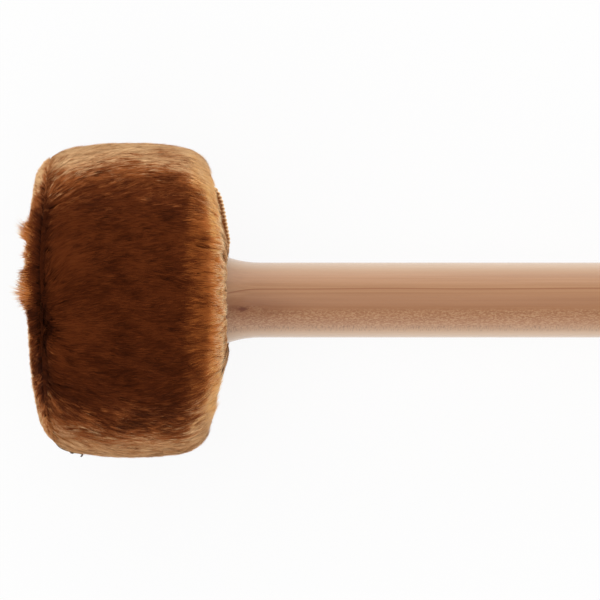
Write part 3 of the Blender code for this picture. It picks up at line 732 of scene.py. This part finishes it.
def pile(rng, start, end, locks, length, height, comb, rounding=0.0, stand_up=nothing, paling=1.15,
         arc=(0.0, 2 * math.pi)):
    """Blades of pile that grow in locks, evenly between two places along the outline: their points, tones
    and shading. Each lock has its own lean, tone and length, which its blades vary a little."""
    fine = np.linspace(start, end, 800)
    share = np.cumsum(np.interp(fine, outline_length, outline_r))
    lock_along = np.interp(rng.random(locks) * share[-1], share, fine)
    lock_angle = rng.uniform(*arc, locks)
    sway = rng.normal(0, lock_sway, locks) + uneven_course(lock_along, lock_angle)
    lock_tone = rng.normal(0.50, 0.14, locks) + uneven_tone(lock_along, lock_angle)
    # Painted light and shade: the 0.13 * sin term makes locks on the far side, up in the picture, paler and
    # those on the near side darker.
    lock_tone += 0.13 * np.sin(lock_angle) + 0.08 * bump(lock_along, front_seam + 0.004, 0.008)
    tilt = rng.normal(0, lock_tilt, (locks, 3))
    lock_length = length * rng.uniform(0.8, 1.2, locks)
    lock_height = height * rng.normal(1.0, 0.2, locks)
    lock = np.repeat(np.arange(locks), blades_in_lock)
    count = len(lock)
    aside = rng.normal(0, lock_spread, count)
    ahead = rng.normal(0, 1.5 * lock_spread, count)
    course = comb(lock_along, lock_angle)[lock] + sway[lock]
    along, angle = walk(lock_along[lock], lock_angle[lock], course, ahead, aside)
    along = np.clip(along, start, end)
    standing = stand_up(along, angle) * rng.uniform(0.5, 1.3, locks)[lock]
    bare = np.maximum.reduce((parting(along, angle), beside_the_fold(along, angle), dimples(along, angle)))
    blade_length = lock_length[lock] * rng.uniform(0.7, 1.15, count) * (1 + 0.5 * standing)
    blade_length *= (1 - 0.80 * np.clip(2 * bare - 1, 0.0, 1.0)) * (1 - short_beside(along, angle))
    to_the_hem = np.maximum(hem_end - along - 0.0005, shortest_blade)
    for room in (to_next_stitch(along, angle, course), to_the_gap(along, angle), to_the_hem):
        blade_length = np.minimum(blade_length, room)
    blade_height = lock_height[lock] * (0.45 + 0.65 * np.sqrt(rng.random(count))) * (1 - 0.5 * bare)
    bend = sway[lock] + rng.normal(0, blade_sway, count)
    bend -= aside * rng.uniform(0.2, 0.7, count) / blade_length
    roll = np.clip(rng.normal(0, blade_roll, count), -most_roll, most_roll)
    half_width = blade_width / 2 * rng.uniform(0.7, 1.3, count)
    own_tone = lock_tone[lock] + rng.normal(0, 0.11, count)
    tone = blade_tones(own_tone, along, angle, bare, standing, paling)
    laid = lay_blades(along, angle, comb, bend, blade_length, blade_height, standing, roll, rounding)
    scatter = rng.normal(0, blade_tilt, (count, 3)) * (1 + 3 * at_back_rim(along, angle))[:, None]
    raised = np.clip(3 * standing, 0.0, 1.0)[:, None]
    points, facing = cut_blades(*laid, half_width, raised, tilt[lock] + scatter)
    return points, tone, facing


blade_faces = ((0, 2, 3, 1), (2, 4, 3))
blade_reach = np.repeat(blade_places, 2)[:blade_points]
blade_side = np.array([-1, 1, -1, 1, 0])
tone_width = 0.008
floor_clearance = 0.0002
axes_of_head = np.array((towards_floor, across, axis))
head_place = np.array(head_middle)


def pile_mesh(name, points, tone, facing):
    """One mesh of many blades, with a map of each blade's tone and reach. Each blade is shaded by the way
    that the lying pile faces there, as soft pile is."""
    count = len(points)
    world = points.reshape(-1, 3) @ axes_of_head + head_place
    world[:, 2] = np.maximum(world[:, 2], floor_clearance)
    mesh = bpy.data.meshes.new(name)
    corners = np.concatenate([np.array(face) for face in blade_faces])
    sizes = np.array([len(face) for face in blade_faces])
    all_corners = (corners[None, :] + blade_points * np.arange(count)[:, None]).ravel()
    all_sizes = np.tile(sizes, count)
    mesh.vertices.add(len(world))
    mesh.vertices.foreach_set("co", world.astype(np.float32).ravel())
    mesh.loops.add(len(all_corners))
    mesh.loops.foreach_set("vertex_index", all_corners.astype(np.int32))
    mesh.polygons.add(len(all_sizes))
    starts = np.concatenate(([0], np.cumsum(all_sizes)[:-1]))
    mesh.polygons.foreach_set("loop_start", starts.astype(np.int32))
    mesh.polygons.foreach_set("loop_total", all_sizes.astype(np.int32))
    mesh.update(calc_edges=True)
    uv = np.empty((len(all_corners), 2), np.float32)
    blade = all_corners // blade_points
    corner = all_corners % blade_points
    uv[:, 0] = np.clip(tone[blade] + blade_side[corner] * tone_width, 0.001, 0.999)
    uv[:, 1] = 0.01 + 0.98 * blade_reach[corner]
    mesh.uv_layers.new(name="OFBake").data.foreach_set("uv", uv.ravel())
    mesh.shade_smooth()
    mesh.normals_split_custom_set_from_vertices(facing.reshape(-1, 3) @ axes_of_head)
    return mesh


most_blades = 65000


def grow(name, points, tone, facing, material):
    """The blades of one cover, in sectors round the axis, so that each piece stays light."""
    order = np.argsort(np.arctan2(points[:, 0, 1], points[:, 0, 0]), kind="stable")
    sectors = math.ceil(len(order) / most_blades)
    for number, sector in enumerate(np.array_split(order, sectors), 1):
        mesh = pile_mesh(f"{name}_{number}", points[sector], tone[sector], facing[sector])
        grown = bpy.data.objects.new(mesh.name, mesh)
        bpy.context.scene.collection.objects.link(grown)
        mesh.materials.append(material)
        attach(grown, "root")


plush, fur, shader, _ = new_material("plush_pile")
blade_map = fur.add("ShaderNodeUVMap", uv_map="OFBake").outputs["UV"]
blade_parts = fur.add("ShaderNodeSeparateXYZ", Vector=blade_map).outputs
tip_tones = fur.ramp(blade_parts["X"], [
    (0.05, (0.034, 0.006, 0.0008)),
    (0.45, (0.082, 0.0155, 0.0026)),
    (0.75, (0.165, 0.038, 0.0080)),
    (0.88, (0.420, 0.125, 0.0260)),
    (0.97, (0.640, 0.220, 0.0500)),
])
root_tones = fur.ramp(blade_parts["X"], [
    (0.0, (0.014, 0.002, 0.0004)), (0.7, (0.055, 0.011, 0.002)), (1.0, (0.200, 0.055, 0.013)),
])
pile_colour = fur.mix(root_tones, tip_tones, fur.step(blade_parts["Y"], 0.05, 0.75))
# Painted sheen: where the pile is seen edge-on its colour turns orange and then gold, paler blades sooner,
# standing in for light that comes through and off the fibres at the rims. The sheen weight below follows the
# same mask.
edge_on = fur.add("ShaderNodeLayerWeight", Blend=0.5).outputs["Facing"]
painted_backlight = fur.math("MULTIPLY_ADD", blade_parts["X"], 0.22, fur.math("SUBTRACT", edge_on, 0.10))
painted_gold_sheen = fur.ramp(blade_parts["X"], [
    (0.28, (0.50, 0.18, 0.047)), (0.74, (1.0, 0.65, 0.335)), (0.88, (0.94, 0.50, 0.145)),
])
painted_orange_sheen = fur.ramp(blade_parts["X"], [(0.58, (0.37, 0.102, 0.026)), (0.88, (0.60, 0.205, 0.055))])
pile_colour = fur.mix(pile_colour, painted_orange_sheen, fur.step(painted_backlight, 0.33, 0.53))
pile_colour = fur.mix(pile_colour, painted_gold_sheen, fur.step(painted_backlight, 0.53, 0.67))
# Painted glow: the tips of the palest blades, mostly the standing tufts and the back rim's fringe, are mixed
# to a pale cream, standing in for light shining through them.
glow_tipped_blades = fur.step(blade_parts["X"], 0.925, 0.98)
painted_pale_tips = fur.math("MULTIPLY", fur.step(blade_parts["Y"], 0.60, 1.0), glow_tipped_blades)
pile_colour = fur.mix(pile_colour, (1.0, 0.82, 0.52), painted_pale_tips)
fur.feed(shader["Base Color"], pile_colour)
fur.feed(shader["Roughness"], 0.7)
fur.feed(shader["Specular IOR Level"], 0.04)
fur.feed(shader["Sheen Weight"], fur.math("MULTIPLY_ADD", fur.step(painted_backlight, 0.55, 0.95), 0.9, 0.06))
fur.feed(shader["Sheen Roughness"], 0.4)
fur.feed(shader["Sheen Tint"], (1.0, 0.66, 0.36))
# Painted glow: the outer parts of all but the darkest blades give off a faint gold light where their back is
# seen, standing in for light coming through the pile.
behind = fur.add("ShaderNodeNewGeometry").outputs["Backfacing"]
glowing_blades = fur.step(blade_parts["X"], 0.10, 0.45)
glowing_tips = fur.math("MULTIPLY", fur.step(blade_parts["Y"], 0.1, 0.6), glowing_blades)
fur.feed(shader["Emission Color"], painted_gold_sheen)
fur.feed(shader["Emission Strength"], fur.math("MULTIPLY", fur.math("MULTIPLY", behind, glowing_tips), 0.17))


rng = np.random.default_rng(7)
share = 1.0
pile_length = 0.0072
pile_height = 0.0010
margin = 0.0002
tuft_start, tuft_end = np.interp(np.radians((-80, -52)), outline_turn, outline_length)
combed_across = {"comb": across_the_face, "rounding": 1.0, "stand_up": over_the_rim}
for name, start, end, locks, length, height, manner in (
    ("band_pile", front_seam + margin, back_seam - margin, 25000, pile_length, pile_height,
     {"comb": to_the_grip}),
    ("front_pile", 0.0, front_seam - margin, 6800, pile_length, pile_height,
     combed_across),
    ("seam_pile", front_seam - 0.0008, front_seam + 0.0004, 1500, 0.0045, 0.0007,
     {"comb": to_the_grip, "rounding": 1.0}),
    ("back_pile", back_seam + margin, hem_end - margin, 5500, 0.0065, 0.0005,
     {"comb": nothing, "stand_up": past_the_rim, "paling": 0.30}),
    ("tuft_pile", tuft_start, tuft_end, 450, pile_length, pile_height,
     {**combed_across, "arc": (math.pi - 0.75, math.pi + 0.25)}),
):
    grow(name, *pile(rng, start, end, round(locks * share), length, height, **manner), plush)

backing = fibre_material("plush_backing", (0.010, 0.0022, 0.0005), (0.035, 0.008, 0.002), 900.0, gloss=0.01)
for side, name in (("side", "plush_band"), ("front", "plush_front"), ("back", "plush_back")):
    dressed_copy(f"cover_{side}", name, backing)

# Gathered fold: along one radius the back's plush is pinched together and oversewn, from the collar to
# the rim. It stands up as a ribbed ridge, with one rib for each turn of the thread.
fold_radii = (0.0215, 0.024, 0.028, 0.032, 0.036, 0.040, 0.043, 0.0455)
fold_heights = (0.0008, 0.0016, 0.0019, 0.0022, 0.0025, 0.0026, 0.0021, 0.0008)
rib_pitch = 0.0015
back_of_head = outline_turn > back_seam_turn
head_turn = Matrix((towards_floor, across, axis)).transposed().to_4x4()
head_frame = Matrix.Translation(head_middle) @ head_turn
ribs = []
for radius in np.arange(fold_radii[0], fold_radii[-1], rib_pitch):
    base = float(np.interp(-radius, -outline_r[back_of_head], outline_z[back_of_head]))
    stands = float(np.interp(radius, fold_radii, fold_heights))
    bpy.ops.mesh.primitive_uv_sphere_add(segments=24, ring_count=12, radius=1.0)
    rib = bpy.context.object
    size = Matrix.Diagonal((0.0020 + 0.6 * stands, 0.85 * rib_pitch, 0.0010 + stands, 1.0))
    rib.matrix_world = head_frame @ Matrix.Translation((0.0, radius, base)) @ size
    ribs.append(rib)
gathered_fold = ribs[0]
gathered_fold.name = "gathered_fold"
select_only(*ribs)
bpy.ops.object.join()
bpy.ops.object.transform_apply(location=True, rotation=True, scale=True)
melt = gathered_fold.modifiers.new("One skin", "REMESH")
melt.mode = "VOXEL"
melt.voxel_size = 0.00022
bpy.ops.object.modifier_apply(modifier=melt.name)
bpy.ops.object.shade_smooth()
pinched, nap, shader, place = new_material("pinched_plush")
short_nap = nap.add(
    "ShaderNodeGroup",
    node_tree=matted_fibres,
    Vector=place,
    Dark=(0.10, 0.024, 0.005),
    Pale=(0.34, 0.115, 0.034),
    Scale=1600.0,
).outputs
# Painted sheen: where the fold is seen edge-on, its colour is mixed to a pale gold.
edge_on = nap.add("ShaderNodeLayerWeight", Blend=0.5).outputs["Facing"]
nap_with_painted_sheen = nap.mix(short_nap["Color"], (0.98, 0.64, 0.34), nap.step(edge_on, 0.30, 0.75))
nap.feed(shader["Base Color"], nap_with_painted_sheen)
nap.feed(shader["Roughness"], 0.8)
nap.feed(shader["Specular IOR Level"], 0.04)
raised = nap.add("ShaderNodeBump", Strength=0.5, Distance=0.0003, Height=short_nap["Height"])
nap.feed(shader["Normal"], raised.outputs["Normal"])
gathered_fold.data.materials.append(pinched)
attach(gathered_fold, "root")

# Thread end: where the front seam's stitching was fastened off, on the lower side, its cut end is caught in
# the pile. It curls once over the pile's tips and ends in a small hook. Its points are given as mm past the
# seam, degrees on round the axis and mm above the backing.
thread_thickness = 0.0006
thread_places = (
    (0.0, -3.0, -0.2), (2.2, -1.6, 1.0), (5.0, -0.6, 1.3), (7.6, 0.2, 1.4),
    (8.9, 1.3, 1.7), (8.3, 2.2, 2.1), (7.5, 1.2, 1.9), (8.8, -0.4, 1.5),
    (10.8, 0.0, 1.3), (12.3, 0.6, 1.5), (12.5, 1.2, 2.1), (11.9, 1.8, 2.7),
)
thread_line = bpy.data.curves.new("thread_line", "CURVE")
thread_line.dimensions = "3D"
thread_line.bevel_depth = thread_thickness / 2
thread_line.bevel_resolution = 3
thread_line.resolution_u = 6
thread_line.use_fill_caps = True
course_of_thread = thread_line.splines.new("NURBS")
course_of_thread.points.add(len(thread_places) - 1)
course_of_thread.order_u = 3
course_of_thread.use_endpoint_u = True
for point, (past_seam, turned, lift) in zip(course_of_thread.points, thread_places):
    spot, normal, *_ = surface(np.array([front_seam + past_seam / 1000]), np.radians([270 + turned]))
    x, y, z = ((spot + normal * lift / 1000) @ axes_of_head + head_place)[0]
    point.co = (x, y, z, 1.0)
thread_end = bpy.data.objects.new("seam_thread_end", thread_line)
bpy.context.scene.collection.objects.link(thread_end)
select_only(thread_end)
bpy.ops.object.convert(target="MESH")
bpy.ops.object.shade_smooth()
thread_end = bpy.context.object
thread_end.data.materials.append(waxed_cotton)
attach(thread_end, "root")

# Floor: a plain white sheet that the mallet lies on. The camera sees it nearly white all over, with the
# mallet's soft shadow.
floor_size = 8.0
bpy.ops.mesh.primitive_plane_add(size=floor_size, location=(0.0, 0.0, -0.0001))
floor = bpy.context.object
floor.name = "floor"
sheet, paper, shader, _ = new_material("white_sheet")
paper.feed(shader["Base Color"], (0.94, 0.94, 0.94))
paper.feed(shader["Roughness"], 0.9)
paper.feed(shader["Specular IOR Level"], 0.0)
glow = paper.add("ShaderNodeEmission", Color=(1.0, 1.0, 1.0), Strength=1.0).outputs["Emission"]


def seen_share(nodes, most):
    """This share for the rays that see the background plainly, and 0 for those that only carry light."""
    rays = nodes.add("ShaderNodeLightPath").outputs
    plain = nodes.math("MAXIMUM", rays["Is Camera Ray"], rays["Is Glossy Ray"])
    return nodes.math("MULTIPLY", nodes.math("MAXIMUM", plain, rays["Is Transmission Ray"]), most)


blend = paper.add("ShaderNodeMixShader", Fac=seen_share(paper, 0.89))
paper.feed(blend.inputs[1], sheet.node_tree.nodes["Principled BSDF"].outputs["BSDF"])
paper.feed(blend.inputs[2], glow)
paper.feed(sheet.node_tree.nodes["Material Output"].inputs["Surface"], blend.outputs["Shader"])
floor.data.materials.append(sheet)

# Light: a white room with three broad soft lamps, one at each side of the mallet and one above it. The one
# at the far side, which is up in the picture, is the strongest.
world = bpy.data.worlds.new("white_room")
bpy.context.scene.world = world
world.use_nodes = True
room = Nodes(world.node_tree)
room_light = 0.75
background = world.node_tree.nodes["Background"]
background.inputs["Color"].default_value = (1.0, 1.0, 1.0, 1.0)
room.feed(background.inputs["Strength"], room.math("ADD", seen_share(room, 1.0 - room_light), room_light))


def soft_lamp(name, location, aim, width, height, power):
    lamp_data = bpy.data.lights.new(name, "AREA")
    lamp_data.shape = "RECTANGLE"
    lamp_data.size = width
    lamp_data.size_y = height
    lamp_data.energy = power
    lamp = bpy.data.objects.new(name, lamp_data)
    bpy.context.scene.collection.objects.link(lamp)
    lamp.location = location
    lamp.rotation_euler = (Vector(aim) - Vector(location)).to_track_quat("-Z", "Y").to_euler()


lit_place = (-0.06, 0.0, 0.06)
soft_lamp("far_side_lamp", (-0.05, 1.1, 0.40), lit_place, 1.6, 0.8, 6.2)
soft_lamp("near_side_lamp", (-0.05, -1.1, 0.40), lit_place, 1.6, 0.8, 3.8)
soft_lamp("top_lamp", (0.1, 0.0, 1.4), lit_place, 0.8, 0.8, 2.0)
bpy.context.scene.view_settings.view_transform = "Standard"
